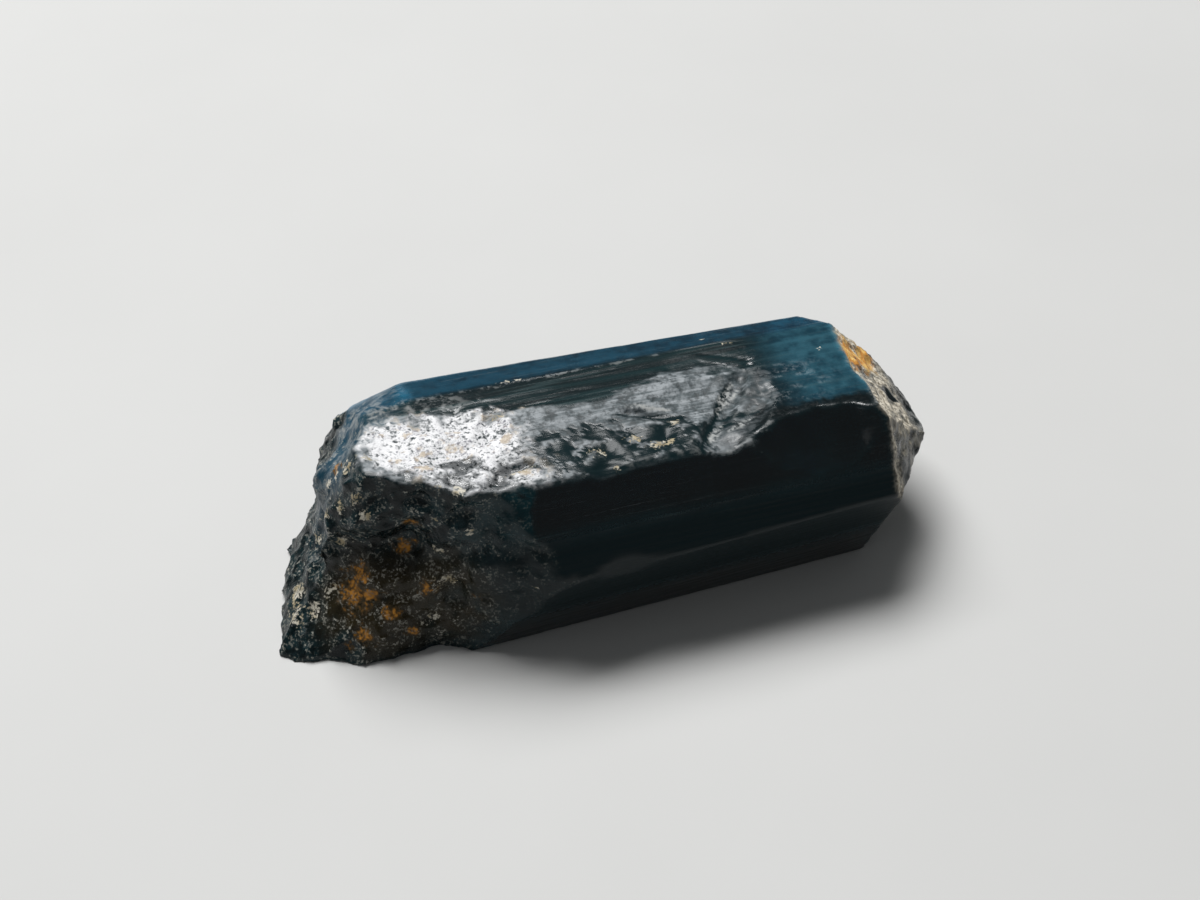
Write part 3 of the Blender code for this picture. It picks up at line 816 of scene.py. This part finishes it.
def stain_crust_frost_and_glint_colour(mix, mark, grain, amount, colour):
    """Iron stain, the crust of the pyramid with its painted shade, cream specks, and pale frost with painted
    glints on the slivers.
    """
    fine, medium = grain["fine"], grain["medium"]
    grit, pepper = grain["grit"], grain["pepper"]
    stain = mix.sum(mark["rust"], mix.less(mix.times(grit, 3.2), 1.6))
    rust = mix.times(mix.between(stain, 0.2, 0.9), mix.between(pepper, 0.5, 0.62, 1.0, 0.35))
    rust = mix.times(rust, mix.between(mark["rust"], 0.02, 0.2))
    colour = mix.blend(rust, colour, mix.blend(mix.between(stain, 0.65, 1.25), *STAIN))
    # pale crust, thinned as painted shade on the faces turned to the front
    crust_and_shade = mix.times(mark["crust_and_shade"], mix.between(grit, 0.36, 0.52, 0.45, 1.0))
    colour = mix.blend(crust_and_shade, colour, mix.blend(mix.between(fine, 0.4, 0.62), *CRUST))
    orange = mix.times(mark["orange"], mix.between(grit, 0.3, 0.46))
    colour = mix.blend(orange, colour, mix.blend(mix.between(medium, 0.42, 0.6), *ORANGE_STAIN))
    specks = mix.sum(mark["cream"], mix.less(mix.times(pepper, 4.0), 2.1))
    cream = mix.times(mix.between(specks, 0.4, 1.0, 0.0, 0.9), mix.between(mark["cream"], 0.02, 0.2))
    colour = mix.blend(cream, colour, mix.blend(mix.between(medium, 0.42, 0.58), *CREAM_SPECK))
    frost_and_glints = mix.times(mark["frost_and_glints"], mix.between(grit, 0.4, 0.55))
    colour = mix.blend(mix.times(mark["calm"], 0.1), colour, CALM_TEAL)
    # pale frost, and painted glints on the slivers
    colour = mix.blend(frost_and_glints, colour, FROST_AND_GLINT_PALE)
    amount["crumbs"] = mix.most(mix.most(mix.most(rust, orange), mix.most(crust_and_shade, cream)), frost_and_glints)
    return colour


def finish(mix, mark, grain, amount):
    """How rough and how clear each part is."""
    roughness = mix.level(mark["satin"], mix.between(grain["fine"], 0.3, 0.7, 0.08, 0.2), 0.58)
    roughness = mix.level(mark["pit"], roughness, 0.22)
    roughness = mix.level(mix.times(mark["striped"], 0.6), roughness, 0.32)
    roughness = mix.level(mix.times(mark["edge"], 0.7), roughness, 0.5)
    roughness = mix.level(mark["broken"], roughness, mix.between(grain["grit"], 0.4, 0.6, 0.24, 0.36))
    roughness = mix.level(mark["corner"], roughness, 0.42)
    roughness = mix.level(mark["glare"], roughness, 0.36)
    roughness = mix.level(amount["crumbs"], roughness, 0.62)
    roughness = mix.level(mark["calm"], roughness, 0.8)

    salted = mix.times(amount["salt"], mark["broken"])
    matt = mix.most(amount["crumbs"], mix.most(amount["glare"], salted))
    clear = mix.level(mark["blue"], 0.88, 0.6)
    clear = mix.level(mix.most(matt, mix.between(mark["broken"], 0.0, 0.16, 0.0, 0.9)), clear, 0.0)
    clear = mix.level(amount["satin"], clear, 0.25)
    clear = mix.level(mix.times(mark["striped"], 0.4), clear, 0.3)
    closed = mix.most(mix.most(mark["edge"], mark["pit"]), mix.times(mark["corner"], 0.85))
    return roughness, mix.level(closed, clear, 0.05)


def make_crystal():
    """The crystal with its fine surface, in place of the plain solid."""
    node = bpy.data.objects["crystal"]
    piece = fine_copy(node)
    regions = shape_surface(piece, node)
    paint_regions(piece, regions)
    piece.data.materials.clear()
    piece.data.materials.append(apatite_material())
    only(piece)
    bpy.ops.object.shade_smooth()
    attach(piece, "root")
    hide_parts("crystal")
    return piece


# Floor, light and camera

def floor_material():
    """Plain pale grey with a faint cloudiness."""
    mix = Recipe("pale floor")
    colour = mix.blend(mix.noise(18, detail=4), *FLOOR)
    shader = mix.add("ShaderNodeBsdfPrincipled", {"Base Color": colour, "Roughness": 0.7})
    mix.add("ShaderNodeOutputMaterial", {"Surface": shader.outputs["BSDF"]})
    return mix.material


def make_floor():
    """A wide level sheet that the crystal lies on."""
    bpy.ops.mesh.primitive_plane_add(size=1.2, location=(0, 0, -0.00001))
    floor = bpy.context.active_object
    floor.name = "floor"
    floor.data.materials.append(floor_material())


def add_softbox(name, azimuth, elevation, distance, size, power):
    """A rectangular lamp that faces the crystal, by its direction in degrees and distance in metres."""
    lamp = bpy.data.lights.new(name, "AREA")
    lamp.shape = "RECTANGLE"
    lamp.size, lamp.size_y = size
    lamp.energy = power
    holder = bpy.data.objects.new(name, lamp)
    bpy.context.scene.collection.objects.link(holder)
    outward = direction(azimuth, elevation)
    holder.location = outward * distance
    holder.rotation_euler = outward.to_track_quat("Z", "Y").to_euler()


def make_light():
    """A large soft lamp high behind the crystal, a weak fill in front and an even room."""
    add_softbox("back softbox", 197, 66, 0.35, (0.24, 0.17), 2.6)
    add_softbox("side fill", -60, 40, 0.4, (0.25, 0.25), 0.06)
    scene = bpy.context.scene
    scene.world = bpy.data.worlds.new("room")
    scene.world.use_nodes = True
    room = scene.world.node_tree.nodes["Background"].inputs
    room["Color"].default_value = (0.75, 0.78, 0.8, 1)
    room["Strength"].default_value = 0.22
    scene.view_settings.view_transform = "Standard"
    scene.view_settings.exposure = -0.6


def make_camera():
    """The photograph's viewpoint, placed so that the aim point lands on its pixel."""
    back = direction(VIEW_AZIMUTH, VIEW_ELEVATION)
    turn = math.radians(VIEW_AZIMUTH)
    right = Vector((math.cos(turn), math.sin(turn), 0.0))
    up = back.cross(right)
    focal_pixels = LENS / SENSOR * PHOTO_SIZE[0]
    distance = focal_pixels / PIXELS_PER_MM
    aside = (AIM_PIXEL[0] - PHOTO_SIZE[0] / 2) / PIXELS_PER_MM
    below = (AIM_PIXEL[1] - PHOTO_SIZE[1] / 2) / PIXELS_PER_MM
    data = bpy.data.cameras.new("camera")
    data.lens = LENS
    data.sensor_width = SENSOR
    data.clip_start = 0.001
    data.clip_end = 10.0
    camera = bpy.data.objects.new("camera", data)
    bpy.context.scene.collection.objects.link(camera)
    camera.location = (AIM + AXIS_SHIFT + back * distance - right * aside + up * below) * MM
    camera.rotation_euler = back.to_track_quat("Z", "Y").to_euler()
    bpy.context.scene.camera = camera


make_camera()
make_crystal()
make_floor()
make_light()
